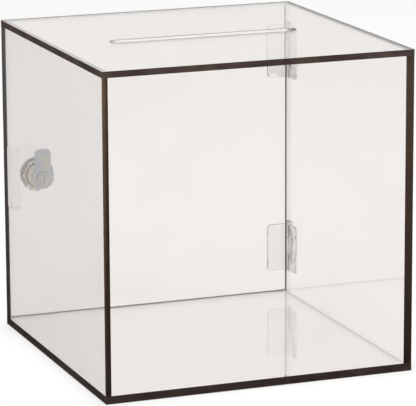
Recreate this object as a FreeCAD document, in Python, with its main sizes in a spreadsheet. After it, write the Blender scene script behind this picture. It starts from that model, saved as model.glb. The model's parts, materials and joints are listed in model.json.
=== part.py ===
"""Clear table-top donation box with dark edges, a slotted top and a locking rear door.

Millimetres. +X is right and -Y is front as the giver sees the box, +Z is up.
The origin is the centre of the underside.
"""
import FreeCAD
import Part
import Sketcher
import os

SIZES = [
    ("box_width", 150, "outside, left to right"),
    ("box_depth", 150, "outside, front to rear"),
    ("box_height", 151.5, "outside, underside to top"),
    ("wall_thickness", 3, "front, left and right panels and the rear door"),
    ("top_thickness", 3, "slotted top panel"),
    ("base_thickness", 3.75, "base panel"),
    ("corner_seam_thickness", 0.3, "dark bond in the two front corner mitres"),
    ("edge_band_thickness", 0.2, "dark band on the other panel edges"),
    ("slot_length", 92, "deposit slot, over its round ends"),
    ("slot_width", 7.5, "deposit slot, front to rear"),
    ("slot_forward", 3.3, "deposit slot in front of the middle of the top"),
    ("door_mitre_gap", 0.3, "between the bands of the door and of a side panel"),
    ("door_end_clearance", 0.5, "door to top and base panels"),
    ("hinge_length", 24, "along the barrel"),
    ("hinge_end_distance", 26, "hinge centre to the nearer end of the box"),
    ("hinge_leaf_width", 12, "from the corner of the box"),
    ("hinge_leaf_thickness", 1.5, "clear hinge leaf"),
    ("hinge_leaf_setback", 0.5, "leaf edge to the corner of the box"),
    ("hinge_barrel_radius", 2.2, "outside of a knuckle"),
    ("hinge_barrel_clearance", 0.3, "knuckle to the plane of a panel"),
    ("hinge_web_overlap", 1.5, "knuckle web along its leaf"),
    ("hinge_knuckle_gap", 0.3, "between two knuckles"),
    ("hinge_pin_radius", 1, "steel pin"),
    ("hinge_pin_head_radius", 1.7, "pin head"),
    ("hinge_pin_head_height", 0.8, "pin head"),
    ("hinge_pin_clearance", 0.05, "pin to bore, radial"),
    ("lock_inset", 18, "lock axis to the left outside of the box"),
    ("lock_height", 75, "lock axis to the underside"),
    ("lock_barrel_radius", 6, "threaded barrel"),
    ("lock_barrel_length", 11.7, "outside of the door to the rear of the barrel"),
    ("lock_barrel_clearance", 0.1, "barrel to door, washer and nut, radial"),
    ("lock_flange_radius", 7.5, "bezel outside the door"),
    ("lock_flange_thickness", 2, "bezel outside the door"),
    ("lock_washer_radius", 8.5, "outside of the washer"),
    ("lock_washer_thickness", 0.6, "washer under the nut"),
    ("lock_nut_across_flats", 14, "hexagon"),
    ("lock_nut_thickness", 3, "hexagon nut"),
    ("plug_radius", 4.2, "turning plug in the barrel"),
    ("plug_clearance", 0.05, "plug to barrel, radial"),
    ("plug_end_clearance", 0.1, "plug to barrel, along the axis"),
    ("plug_collar_radius", 5, "collar that stops the plug"),
    ("plug_collar_thickness", 1, "collar that stops the plug"),
    ("plug_tang_side", 5, "square end that turns the cam"),
    ("keyway_width", 1.4, "across the plug"),
    ("keyway_height", 6, "along the plug face"),
    ("keyway_depth", 7, "into the plug"),
    ("cam_thickness", 1.5, "flat steel cam"),
    ("cam_width", 8, "cam arm"),
    ("cam_hub_radius", 5.5, "round end of the cam"),
    ("cam_tip_chamfer", 1.5, "corners of the cam tip"),
    ("cam_tip_clearance", 1, "cam tip to the left panel when locked"),
    ("cam_tang_clearance", 0.05, "cam hole to tang, each side"),
    ("cam_keeper_clearance", 0.3, "cam to keeper when locked"),
    ("cam_screw_radius", 1.5, "screw that holds the cam"),
    ("cam_screw_length", 5, "screw under its head"),
    ("cam_screw_head_radius", 3.2, "screw head"),
    ("cam_screw_head_height", 1.6, "screw head"),
    ("cam_screw_slot_width", 0.8, "driver slot"),
    ("cam_screw_slot_depth", 0.8, "driver slot"),
    ("cam_screw_clearance", 0.05, "screw to its hole, radial"),
    ("keeper_width", 4, "from the left panel inward"),
    ("keeper_height", 30, "block that the cam turns behind"),
    ("keeper_door_clearance", 0.2, "keeper to the inside of the door"),
]

doc = FreeCAD.newDocument("donation_box")
sheet = doc.addObject("Spreadsheet::Sheet", "Sizes")
for row, (alias, value, note) in enumerate(SIZES, start=1):
    sheet.set(f"A{row}", alias)
    sheet.set(f"B{row}", str(value))
    sheet.set(f"C{row}", note)
    sheet.setAlias(f"B{row}", alias)
doc.recompute()

HEADINGS = {"front": 0, "right": 90, "rear": 180, "left": 270}
HINGE_X = "Sizes.box_width / 2 + Sizes.hinge_barrel_radius + Sizes.hinge_barrel_clearance"
HINGE_Y = "Sizes.box_depth / 2 + Sizes.hinge_barrel_radius + Sizes.hinge_barrel_clearance"
SEAM_ON_FACE = "Sizes.corner_seam_thickness / sqrt(2)"
GAP_ON_FACE = "Sizes.door_mitre_gap / sqrt(2)"
BAND_ON_FACE = "sqrt(2) * Sizes.edge_band_thickness"
REAR_ON_FACE = f"({GAP_ON_FACE} + {BAND_ON_FACE})"
WALL_HEIGHT = "Sizes.box_height - Sizes.base_thickness - Sizes.top_thickness"
DOOR_HEIGHT = f"{WALL_HEIGHT} - 2 * Sizes.door_end_clearance"
DOOR_BOTTOM = "Sizes.base_thickness + Sizes.door_end_clearance"
TOP_BOTTOM = "Sizes.box_height - Sizes.top_thickness"
CAM_FRONT = "(Sizes.lock_barrel_length + Sizes.plug_end_clearance)"
CAM_REAR = f"({CAM_FRONT} + Sizes.cam_thickness)"


def new_body(label):
    """An empty body whose label names the piece."""
    body = doc.addObject("PartDesign::Body", label)
    body.Label = label
    return body


def new_sketch(body, role, offset="0"):
    """A sketch on one of the body's origin planes, moved along that plane's normal."""
    plane = next(item for item in body.Origin.OriginFeatures if item.Role == role)
    sketch = body.newObject("Sketcher::SketchObject", f"{body.Name}_sketch")
    sketch.AttachmentSupport = (plane, [""])
    sketch.MapMode = "FlatFace"
    sketch.setExpression("AttachmentOffset.Base.z", offset)
    return sketch


def pin_point(sketch, geometry, position, point):
    """Tie one point of the sketch to its two coordinates."""
    for kind, expression in zip(("DistanceX", "DistanceY"), point):
        value = float(sketch.evalExpression(expression))
        index = sketch.addConstraint(Sketcher.Constraint(kind, -1, 1, geometry, position, value))
        sketch.setExpression(f"Constraints[{index}]", expression)


def polygon(body, role, points, offset="0"):
    """A closed outline of straight lines through points given as expressions."""
    sketch = new_sketch(body, role, offset)
    corners = [FreeCAD.Vector(*(float(sketch.evalExpression(item)) for item in point), 0)
               for point in points]
    for index, corner in enumerate(corners):
        sketch.addGeometry(Part.LineSegment(corner, corners[(index + 1) % len(corners)]))
    for index, point in enumerate(points):
        following = (index + 1) % len(points)
        sketch.addConstraint(Sketcher.Constraint("Coincident", index, 2, following, 1))
        pin_point(sketch, index, 1, point)
    return sketch


def rectangle(body, role, left, right, low, high, offset="0"):
    """A rectangle between four expressions."""
    return polygon(body, role, [(left, low), (right, low), (right, high), (left, high)], offset)


def circles(body, role, centres, radius, offset="0"):
    """Circles of one radius."""
    sketch = new_sketch(body, role, offset)
    size = float(sketch.evalExpression(radius))
    for index, centre in enumerate(centres):
        place = FreeCAD.Vector(*(float(sketch.evalExpression(item)) for item in centre), 0)
        sketch.addGeometry(Part.Circle(place, FreeCAD.Vector(0, 0, 1), size))
        pin_point(sketch, index, 3, centre)
        constraint = sketch.addConstraint(Sketcher.Constraint("Radius", index, size))
        sketch.setExpression(f"Constraints[{constraint}]", radius)
    return sketch


def disc(body, radius, offset="0"):
    """A circle round the body's own axis."""
    return circles(body, "XY_Plane", [("0", "0")], radius, offset)


def pad(body, sketch, length, downward=False):
    """Material on the sketch's upper side, or on its lower side."""
    feature = body.newObject("PartDesign::Pad", f"{body.Name}_pad")
    feature.Profile = sketch
    feature.Reversed = downward
    feature.setExpression("Length", length)
    doc.recompute()


def pocket(body, sketch, depth, upward=False):
    """A cut below the sketch, or above it, which has to take material away."""
    before = body.Shape.Volume
    feature = body.newObject("PartDesign::Pocket", f"{body.Name}_pocket")
    feature.Profile = sketch
    feature.Reversed = upward
    feature.setExpression("Length", depth)
    doc.recompute()
    if body.Shape.Volume >= before:
        raise ValueError(f"{body.Label}: a pocket cut nothing")


def place(body, x="0", y="0", z="0", axis=(0, 0, 1), angle=0):
    """Turn the body and tie its origin to three expressions."""
    body.Placement = FreeCAD.Placement(
        FreeCAD.Vector(), FreeCAD.Rotation(FreeCAD.Vector(*axis), angle))
    for letter, expression in zip("xyz", (x, y, z)):
        body.setExpression(f"Placement.Base.{letter}", expression)


def place_on_side(body, side, bottom):
    """Set a piece drawn along local X, with local Y inward, on one side of the box."""
    x = {"right": "Sizes.box_width / 2", "left": "-Sizes.box_width / 2"}.get(side, "0")
    y = {"front": "-Sizes.box_depth / 2", "rear": "Sizes.box_depth / 2"}.get(side, "0")
    place(body, x, y, bottom, angle=HEADINGS[side])


def side_length(side):
    """Outside length of one side of the box."""
    return "Sizes.box_width" if side in ("front", "rear") else "Sizes.box_depth"


def mitred_bar(label, side, start, end, depth, height, bottom):
    """A straight piece along one side whose ends are mitred, set in from the box corners."""
    body = new_body(label)
    half = f"{side_length(side)} / 2"
    outline = polygon(body, "XY_Plane", [
        (f"-{half} + {start}", "0"),
        (f"{half} - {end}", "0"),
        (f"{half} - {end} - {depth}", depth),
        (f"-{half} + {start} + {depth}", depth)])
    pad(body, outline, height)
    place_on_side(body, side, bottom)
    return body


def rear_band(label, side, at_end, height, bottom):
    """A dark band on the mitre where a panel meets the door, or the door meets a panel."""
    body = new_body(label)
    sign = "" if at_end else "-"
    half = f"({side_length(side)} / 2 - {GAP_ON_FACE})"
    outline = polygon(body, "XY_Plane", [
        (f"{sign}{half}", "0"),
        (f"{sign}({half} - {BAND_ON_FACE})", "0"),
        (f"{sign}({half} - {BAND_ON_FACE} - Sizes.wall_thickness)", "Sizes.wall_thickness"),
        (f"{sign}({half} - Sizes.wall_thickness)", "Sizes.wall_thickness")])
    pad(body, outline, height)
    place_on_side(body, side, bottom)


def corner_seam(label, at_end):
    """The dark bond on a front corner mitre, flush with the panels outside and inside."""
    body = new_body(label)
    sign = "" if at_end else "-"
    half = "Sizes.box_width / 2"
    outline = polygon(body, "XY_Plane", [
        (f"{sign}({half} - {SEAM_ON_FACE})", "0"),
        (f"{sign}{half}", SEAM_ON_FACE),
        (f"{sign}({half} - Sizes.wall_thickness)", f"Sizes.wall_thickness + {SEAM_ON_FACE}"),
        (f"{sign}({half} - Sizes.wall_thickness - {SEAM_ON_FACE})", "Sizes.wall_thickness")])
    pad(body, outline, WALL_HEIGHT)
    place_on_side(body, "front", "Sizes.base_thickness")


def flat_panel(label, thickness, bottom):
    """A top or base panel, inside the dark bands on its four edges."""
    body = new_body(label)
    half_width = "(Sizes.box_width / 2 - Sizes.edge_band_thickness)"
    half_depth = "(Sizes.box_depth / 2 - Sizes.edge_band_thickness)"
    outline = rectangle(body, "XY_Plane", f"-{half_width}", half_width, f"-{half_depth}", half_depth)
    pad(body, outline, thickness)
    place(body, z=bottom)
    return body


def flat_panel_bands(name, thickness, bottom):
    """The four dark bands round a top or base panel, mitred at the corners."""
    for side in HEADINGS:
        mitred_bar(f"{name}_{side}_edge_band", side, "0", "0",
                   "Sizes.edge_band_thickness", thickness, bottom)


def box_panels():
    """The fixed panels with their dark edges."""
    flat_panel("base_panel", "Sizes.base_thickness", "0")
    flat_panel_bands("base", "Sizes.base_thickness", "0")
    for side, start, end in (("front", SEAM_ON_FACE, SEAM_ON_FACE),
                             ("right", SEAM_ON_FACE, REAR_ON_FACE),
                             ("left", REAR_ON_FACE, SEAM_ON_FACE)):
        mitred_bar(f"{side}_panel", side, start, end,
                   "Sizes.wall_thickness", WALL_HEIGHT, "Sizes.base_thickness")
    corner_seam("front_left_corner_seam", at_end=False)
    corner_seam("front_right_corner_seam", at_end=True)
    rear_band("left_panel_rear_edge_band", "left", False, WALL_HEIGHT, "Sizes.base_thickness")
    rear_band("right_panel_rear_edge_band", "right", True, WALL_HEIGHT, "Sizes.base_thickness")
    top = flat_panel("top_panel", "Sizes.top_thickness", TOP_BOTTOM)
    cut_deposit_slot(top)
    flat_panel_bands("top", "Sizes.top_thickness", TOP_BOTTOM)


def cut_deposit_slot(top):
    """A slot with round ends through the top panel, a little in front of its middle."""
    straight = "(Sizes.slot_length - Sizes.slot_width) / 2"
    half_width = "Sizes.slot_width / 2"
    centre = "-Sizes.slot_forward"
    middle = rectangle(top, "XY_Plane", f"-{straight}", straight,
                       f"{centre} - {half_width}", f"{centre} + {half_width}")
    pocket(top, middle, "Sizes.top_thickness", upward=True)
    ends = circles(top, "XY_Plane", [(f"-{straight}", centre), (straight, centre)], half_width)
    pocket(top, ends, "Sizes.top_thickness", upward=True)


def rear_door():
    """The clear rear door, mitred like the panels, with its bands and the hole for the lock."""
    door = mitred_bar("rear_door_panel", "rear", REAR_ON_FACE, REAR_ON_FACE,
                      "Sizes.wall_thickness", DOOR_HEIGHT, DOOR_BOTTOM)
    hole = circles(door, "XZ_Plane",
                   [("Sizes.box_width / 2 - Sizes.lock_inset", f"Sizes.lock_height - ({DOOR_BOTTOM})")],
                   "Sizes.lock_barrel_radius + Sizes.lock_barrel_clearance")
    pocket(door, hole, "Sizes.wall_thickness")
    rear_band("door_right_edge_band", "rear", False, DOOR_HEIGHT, DOOR_BOTTOM)
    rear_band("door_left_edge_band", "rear", True, DOOR_HEIGHT, DOOR_BOTTOM)


def hinge_leaf(label, bottom, knuckles, on_door):
    """A clear leaf with its knuckles, drawn round the pin's axis at the rear right corner."""
    body = new_body(label)
    face = "(Sizes.hinge_barrel_radius + Sizes.hinge_barrel_clearance)"
    across = (f"-{face}", f"-{face} + Sizes.hinge_leaf_thickness")
    along = (f"-{face} - Sizes.hinge_leaf_width", f"-{face} - Sizes.hinge_leaf_setback")
    web_across = ("-Sizes.hinge_barrel_radius", "0")
    web_along = (f"-{face} - Sizes.hinge_leaf_setback - Sizes.hinge_web_overlap", "0")
    plate = (*along, *across) if on_door else (*across, *along)
    web = (*web_along, *web_across) if on_door else (*web_across, *web_along)
    pad(body, rectangle(body, "XY_Plane", *plate), "Sizes.hinge_length")
    for low, high in knuckles:
        pad(body, rectangle(body, "XY_Plane", *web, offset=low), f"{high} - ({low})")
        pad(body, disc(body, "Sizes.hinge_barrel_radius", low), f"{high} - ({low})")
    pocket(body, disc(body, "Sizes.hinge_pin_radius + Sizes.hinge_pin_clearance"),
           "Sizes.hinge_length", upward=True)
    place(body, HINGE_X, HINGE_Y, bottom)


def hinge_pin(label, bottom):
    """A headed pin that drops through the knuckles."""
    body = new_body(label)
    pad(body, disc(body, "Sizes.hinge_pin_radius"), "Sizes.hinge_length")
    pad(body, disc(body, "Sizes.hinge_pin_head_radius", "Sizes.hinge_length"),
        "Sizes.hinge_pin_head_height")
    place(body, HINGE_X, HINGE_Y, bottom)


def hinges():
    """Two three-knuckle hinges outside the rear right corner."""
    half_gap = "Sizes.hinge_knuckle_gap / 2"
    first = "Sizes.hinge_length / 3"
    second = "2 * Sizes.hinge_length / 3"
    box_knuckles = [("0", f"{first} - {half_gap}"), (f"{second} + {half_gap}", "Sizes.hinge_length")]
    door_knuckles = [(f"{first} + {half_gap}", f"{second} - {half_gap}")]
    centres = {"lower": "Sizes.hinge_end_distance",
               "upper": "Sizes.box_height - Sizes.hinge_end_distance"}
    for name, centre in centres.items():
        bottom = f"{centre} - Sizes.hinge_length / 2"
        hinge_leaf(f"{name}_hinge_box_leaf", bottom, box_knuckles, on_door=False)
        hinge_leaf(f"{name}_hinge_door_leaf", bottom, door_knuckles, on_door=True)
        hinge_pin(f"{name}_hinge_pin", bottom)


def lock_keeper():
    """The clear block on the left panel that stops the door and that the cam turns behind."""
    body = new_body("lock_keeper")
    front = f"-({CAM_FRONT} - Sizes.cam_keeper_clearance)"
    rear = "-(Sizes.wall_thickness + Sizes.keeper_door_clearance)"
    outline = rectangle(body, "XY_Plane", "0", "Sizes.keeper_width", front, rear)
    pad(body, outline, "Sizes.keeper_height")
    place(body, "-Sizes.box_width / 2 + Sizes.wall_thickness", "Sizes.box_depth / 2",
          "Sizes.lock_height - Sizes.keeper_height / 2")


def place_on_lock(body):
    """Set a lock piece on the lock's axis, with local Z outward from the door's outside."""
    place(body, "-Sizes.box_width / 2 + Sizes.lock_inset", "Sizes.box_depth / 2",
          "Sizes.lock_height", axis=(1, 0, 0), angle=-90)


def lock_housing():
    """Bezel and barrel in one piece, bored for the plug and its collar."""
    body = new_body("lock_housing")
    pad(body, disc(body, "Sizes.lock_flange_radius"), "Sizes.lock_flange_thickness")
    pad(body, disc(body, "Sizes.lock_barrel_radius"), "Sizes.lock_barrel_length", downward=True)
    face = "Sizes.lock_flange_thickness"
    pocket(body, disc(body, "Sizes.plug_radius + Sizes.plug_clearance", face),
           "Sizes.lock_flange_thickness + Sizes.lock_barrel_length")
    pocket(body, disc(body, "Sizes.plug_collar_radius + Sizes.plug_clearance", face),
           "Sizes.plug_collar_thickness + Sizes.plug_end_clearance")
    place_on_lock(body)


def lock_washer_and_nut():
    """The washer and hexagon nut that clamp the barrel to the inside of the door."""
    bore = "Sizes.lock_barrel_radius + Sizes.lock_barrel_clearance"
    washer_top = "-Sizes.wall_thickness"
    nut_top = "-Sizes.wall_thickness - Sizes.lock_washer_thickness"
    washer = new_body("lock_washer")
    pad(washer, disc(washer, "Sizes.lock_washer_radius", washer_top),
        "Sizes.lock_washer_thickness", downward=True)
    pocket(washer, disc(washer, bore, washer_top), "Sizes.lock_washer_thickness")
    place_on_lock(washer)
    nut = new_body("lock_nut")
    corner = "Sizes.lock_nut_across_flats / sqrt(3)"
    hexagon = [(f"{corner} * cos({angle})", f"{corner} * sin({angle})") for angle in range(0, 360, 60)]
    pad(nut, polygon(nut, "XY_Plane", hexagon, nut_top), "Sizes.lock_nut_thickness", downward=True)
    pocket(nut, disc(nut, bore, nut_top), "Sizes.lock_nut_thickness")
    place_on_lock(nut)


def lock_plug():
    """The turning plug with its collar, keyway, square tang and screw hole."""
    body = new_body("lock_plug")
    face = "Sizes.lock_flange_thickness"
    under_collar = "Sizes.lock_flange_thickness - Sizes.plug_collar_thickness"
    pad(body, disc(body, "Sizes.plug_collar_radius", face), "Sizes.plug_collar_thickness", downward=True)
    pad(body, disc(body, "Sizes.plug_radius", under_collar),
        f"{under_collar} + {CAM_FRONT}", downward=True)
    half_side = "Sizes.plug_tang_side / 2"
    tang = rectangle(body, "XY_Plane", f"-{half_side}", half_side, f"-{half_side}", half_side,
                     f"-{CAM_FRONT}")
    pad(body, tang, "Sizes.cam_thickness", downward=True)
    keyway = rectangle(body, "XY_Plane", "-Sizes.keyway_width / 2", "Sizes.keyway_width / 2",
                       "-Sizes.keyway_height / 2", "Sizes.keyway_height / 2", face)
    pocket(body, keyway, "Sizes.keyway_depth")
    screw_hole = disc(body, "Sizes.cam_screw_radius + Sizes.cam_screw_clearance", f"-{CAM_REAR}")
    pocket(body, screw_hole, "Sizes.cam_screw_length", upward=True)
    place_on_lock(body)


def lock_cam():
    """The flat cam, upright when unlocked."""
    body = new_body("lock_cam")
    reach = "(Sizes.lock_inset - Sizes.wall_thickness - Sizes.cam_tip_clearance)"
    half_width = "Sizes.cam_width / 2"
    shoulder = f"-({reach} - Sizes.cam_tip_chamfer)"
    tip = f"({half_width} - Sizes.cam_tip_chamfer)"
    level = f"-{CAM_REAR}"
    pad(body, disc(body, "Sizes.cam_hub_radius", level), "Sizes.cam_thickness")
    arm = polygon(body, "XY_Plane", [
        (f"-{half_width}", "0"), (f"-{half_width}", shoulder), (f"-{tip}", f"-{reach}"),
        (tip, f"-{reach}"), (half_width, shoulder), (half_width, "0")], level)
    pad(body, arm, "Sizes.cam_thickness")
    half_hole = "(Sizes.plug_tang_side / 2 + Sizes.cam_tang_clearance)"
    hole = rectangle(body, "XY_Plane", f"-{half_hole}", half_hole, f"-{half_hole}", half_hole, level)
    pocket(body, hole, "Sizes.cam_thickness", upward=True)
    place_on_lock(body)


def cam_screw():
    """The slotted screw that holds the cam on the plug."""
    body = new_body("cam_screw")
    level = f"-{CAM_REAR}"
    pad(body, disc(body, "Sizes.cam_screw_head_radius", level), "Sizes.cam_screw_head_height", downward=True)
    pad(body, disc(body, "Sizes.cam_screw_radius", level), "Sizes.cam_screw_length")
    slot = rectangle(body, "XY_Plane", "-Sizes.cam_screw_slot_width / 2", "Sizes.cam_screw_slot_width / 2",
                     "-Sizes.cam_screw_head_radius", "Sizes.cam_screw_head_radius",
                     f"{level} - Sizes.cam_screw_head_height")
    pocket(body, slot, "Sizes.cam_screw_slot_depth", upward=True)
    place_on_lock(body)


def write_parts():
    """Check every object and write each piece to its own file."""
    doc.recompute()
    for item in doc.Objects:
        if "Invalid" in item.State or "Error" in item.State:
            raise ValueError(f"{item.Label} failed: {item.State}")
    os.makedirs("parts", exist_ok=True)
    bodies = [item for item in doc.Objects if item.TypeId == "PartDesign::Body"]
    for body in bodies:
        if body.Shape.isNull() or not body.Shape.isValid() or len(body.Shape.Solids) != 1:
            raise ValueError(f"{body.Label} is not one valid solid")
    for body in bodies:
        body.Shape.exportStep(f"parts/{body.Label}.step")
    print(len(bodies), "pieces")


box_panels()
rear_door()
hinges()
lock_keeper()
lock_housing()
lock_washer_and_nut()
lock_plug()
lock_cam()
cam_screw()
write_parts()
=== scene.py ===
"""Looks of a clear table-top donation box with dark edges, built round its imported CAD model."""
import json
import math

import bmesh
import bpy
from mathutils import Matrix, Vector


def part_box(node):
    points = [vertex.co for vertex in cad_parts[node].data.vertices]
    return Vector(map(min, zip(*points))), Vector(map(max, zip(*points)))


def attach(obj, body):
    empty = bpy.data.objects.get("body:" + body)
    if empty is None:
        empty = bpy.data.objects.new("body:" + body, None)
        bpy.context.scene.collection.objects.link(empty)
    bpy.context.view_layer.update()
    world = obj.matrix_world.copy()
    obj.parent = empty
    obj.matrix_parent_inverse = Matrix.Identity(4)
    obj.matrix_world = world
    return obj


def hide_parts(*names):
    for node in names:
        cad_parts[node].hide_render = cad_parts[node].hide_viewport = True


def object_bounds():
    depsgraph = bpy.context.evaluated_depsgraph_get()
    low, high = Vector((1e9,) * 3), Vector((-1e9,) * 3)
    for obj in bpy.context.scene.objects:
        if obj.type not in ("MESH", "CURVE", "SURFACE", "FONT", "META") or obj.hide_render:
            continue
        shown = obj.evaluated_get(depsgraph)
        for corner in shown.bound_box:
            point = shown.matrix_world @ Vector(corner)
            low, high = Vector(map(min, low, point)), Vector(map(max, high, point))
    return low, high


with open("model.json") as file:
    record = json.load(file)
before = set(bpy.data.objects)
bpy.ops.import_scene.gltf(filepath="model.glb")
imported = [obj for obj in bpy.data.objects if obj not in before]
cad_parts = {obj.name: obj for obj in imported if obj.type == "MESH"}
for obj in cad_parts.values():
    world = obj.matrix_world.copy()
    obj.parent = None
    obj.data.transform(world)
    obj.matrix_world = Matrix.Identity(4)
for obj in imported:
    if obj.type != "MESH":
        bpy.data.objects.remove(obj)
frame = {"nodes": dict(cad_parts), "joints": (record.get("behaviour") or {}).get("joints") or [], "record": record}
CAD_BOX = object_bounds()

bl_info = {
    "name": "Clear donation box",
    "version": (1, 0, 0),
    "blender": (4, 5, 0),
    "location": "3D View > Sidebar > Donation box",
    "description": "Builds the looks of a clear box with dark edges, a slotted top and a locking rear door",
    "category": "Object",
}

MM = 0.001
BODY_OF = {node: body for body, nodes in frame["record"]["behaviour"]["bodies"].items() for node in nodes}
SIDES = ("front", "right", "rear", "left")


def cad_box(node):
    """Lowest and highest corner of a CAD node in millimetres."""
    return tuple(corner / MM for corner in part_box(node))


HALF_WIDTH = cad_box("base_front_edge_band")[1].x
HALF_DEPTH = cad_box("base_left_edge_band")[1].y
WALL = cad_box("front_panel")[1].y + HALF_DEPTH


def cad_slot():
    """Lowest and highest corner of the deposit slot in the CAD top panel, in millimetres."""
    low, high = cad_box("top_panel")
    points = [vert.co / MM for vert in frame["nodes"]["top_panel"].data.vertices]
    rim = [p for p in points if low.x + WALL < p.x < high.x - WALL and low.y + WALL < p.y < high.y - WALL]
    return (Vector([min(p[axis] for p in rim) for axis in range(3)]),
            Vector([max(p[axis] for p in rim) for axis in range(3)]))


SLOT_LOW, SLOT_HIGH = cad_slot()
LOCK_AXIS = next(joint for joint in frame["joints"] if joint["name"] == "lock_turn")["pos_m"]

# Tolerances in millimetres, and the rims of walls and keeper as shares of a panel's rim
NEAR = 0.01
WELD = 0.001
FLAT_ANGLE = math.radians(1.0)
WALL_RIM = 0.25
KEEPER_RIM = 1.5

# Hinges: radii and heights in millimetres, pin steps as (radius, distance from the tip, neck or top)
LEAF_EDGE_ANGLE = math.radians(40.0)
LEAF_CORNER_RADIUS = 2.0
LEAF_CORNER_STEPS = 6
LEAF_RIM = 0.18
LEAF_RIM_STEPS = 2
PIN_SIDES = 40
PIN_HEAD_HEIGHT = 0.8
PIN_TIP = ((0.55, 0.0), (0.88, 0.1), (1.0, 0.35))
PIN_NECK = ((1.0, 0.0), (1.55, 0.0), (1.7, 0.12))
PIN_TOP = ((1.7, 0.36), (1.48, 0.12), (1.05, 0.0))

# Lock housing: bezel steps as (radius, depth below the face), flange and end steps as (inward, depth)
TURNED_SIDES = 72
BARREL_RADIUS = 6.0
HOLE_RADIUS = 6.1
HOLE_SIDES = 48
PLUG_BORE = 4.25
BORE_CHAMFER = 0.25
COLLAR_BORE = 5.05
COLLAR_SEAT = 0.9
BEZEL = ((COLLAR_BORE, 0.12), (5.17, 0.0), (5.5, 0.0), (5.62, 0.14), (5.82, 0.14), (5.94, 0.0))
FLANGE_ROUND = ((0.6, 0.0), (0.25, 0.1), (0.06, 0.32), (0.0, 0.6))
FLANGE_CHAMFER = 0.1
BARREL_NECK = 0.5
BARREL_END = ((0.15, 0.35), (0.5, 0.0))
THREAD_TOP = 0.6
THREAD_RUNOUT = 0.7
THREAD_STEPS = 8
THREAD_FLANK = 1.6
THREAD_LAND = 0.3

# Lock washer: tooth steps as shares of one tooth's turn
WASHER_ROOT = 7.3
WASHER_SHEET = 0.6
TOOTH_CORNER = 0.15
TOOTH_TWIST = 0.7
TOOTH_STEPS = (0.0, 0.16, 0.24, 0.3, 0.58, 0.86, 0.92, 0.99)

# Lock nut
NUT_CHAMFERS = (0.0, 0.12, 0.26, 0.42, 0.62)
NUT_CHAMFER_SLOPE = 1.8
NUT_CROWN = 0.965
NUT_BORE_CHAMFER = 0.4

# Lock plug: collar steps as (inward, depth), wards as heights on the right and left of the keyway
PLUG_RADIUS = 4.2
PLUG_CHAMFER = 0.2
PLUG_LIFT = 0.1
COLLAR_ROUND = ((0.3, 0.0), (0.08, 0.1), (0.0, 0.3))
KEYWAY_WIDTH = 1.4
KEYWAY_HEIGHT = 6.0
KEYWAY_DEPTH = 7.0
KEYWAY_LEAD = 0.1
KEYWAY_LEAD_DEPTH = 0.12
WARD = 0.35
RIGHT_WARD = (0.2, 0.5, 1.2, 1.5)
LEFT_WARD = (-0.1, -0.4, -1.3, -1.6)
TANG_SIDE = 5.0
TANG_CHAMFER = 0.2

# Lock cam: the stamped face has a burr, the other face a rolled edge
CAM_WIDTH = 8.0
CAM_TIP_CUT = 1.5
CAM_HUB_SIDES = 48
CAM_HOLE = 2.55
CAM_BURR = 0.08
CAM_ROLL = 0.3
CAM_ROLL_MIDDLE = 0.09

# Cam screw: sections as shares of the head's radius
SCREW_CUTS = (0.98, 0.92, 0.8, 0.62, 0.42, 0.25)
SCREW_STEPS = 14
SCREW_DOME = 0.45
SCREW_RADIUS = 1.5
SCREW_SIDES = 32
SCREW_SLOT = 0.8
SCREW_SLOT_DRAFT = 0.06
SHANK_ROOT = 0.2
SHANK_POINT = 0.4

# Painted shade on the slot, wear and painted light on the dark bands, and thin places and painted light of the
# bonds as (outer, inner) at foot and head
SLOT_END_SIDES = 24
RIM_SHADE = 0.95
REAR_RIM_LESS_SHADE = 0.3
FRONT_SHADE = 0.75
BAND_END = 2.5
BAND_SIDE = 0.45
# The top bands are painted lighter, as if lit from above; on the base the edges are worn lighter than the field
EDGE_WEAR_AND_LIGHT = {"base": 0.4, "top": 0.8}
FIELD_WEAR_AND_LIGHT = {"base": 0.25, "top": 0.8}
REAR_WEAR = 0.3
BOND_THIN_AND_LIGHT = {"left": ((0.1, 0.0), (1.0, 0.0)), "right": ((0.0, 0.0), (0.3, 0.3))}

# Stage in metres, lamps as (name, place, size, power)
FLOOR_HALF = 6.0
FLOOR_GAP = 0.1 * MM
# Tent of painted reflection: its hole, bright ring, radius, height and lift
TENT_HOLE = 0.0755
TENT_BRIGHT = 0.9
TENT_RADIUS = 2.5
TENT_HEIGHT = 2.5
TENT_LIFT = 0.0005
LAMPS = (
    ("key_softbox", (-1.1, -0.9, 1.3), 0.9, 11.0),
    ("fill_softbox", (1.2, -0.7, 0.9), 0.8, 5.0),
    ("top_softbox", (0.1, 0.3, 1.6), 1.2, 9.0),
)
SENSOR_WIDTH = 36.0
CLIP_END = 50.0
LIGHT_BOUNCES = 24
GLOSSY_BOUNCES = 12

# Room light and finishes: shares, and colours
CEILING_SHADE = 0.28
RIGHT_SHADE = 0.3
ROOM_TINT = (1.0, 0.985, 0.97)
WHITE = (1.0, 1.0, 1.0, 1.0)
ACRYLIC_IOR = 1.49
HAZE_SHARE = 0.975
# Near-black painted shade for the slot's wall and rims
SLOT_SHADE = (0.09, 0.08, 0.073)
COLOUR = {"subtype": "COLOR", "size": 3, "min": 0.0, "max": 1.0}


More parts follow.
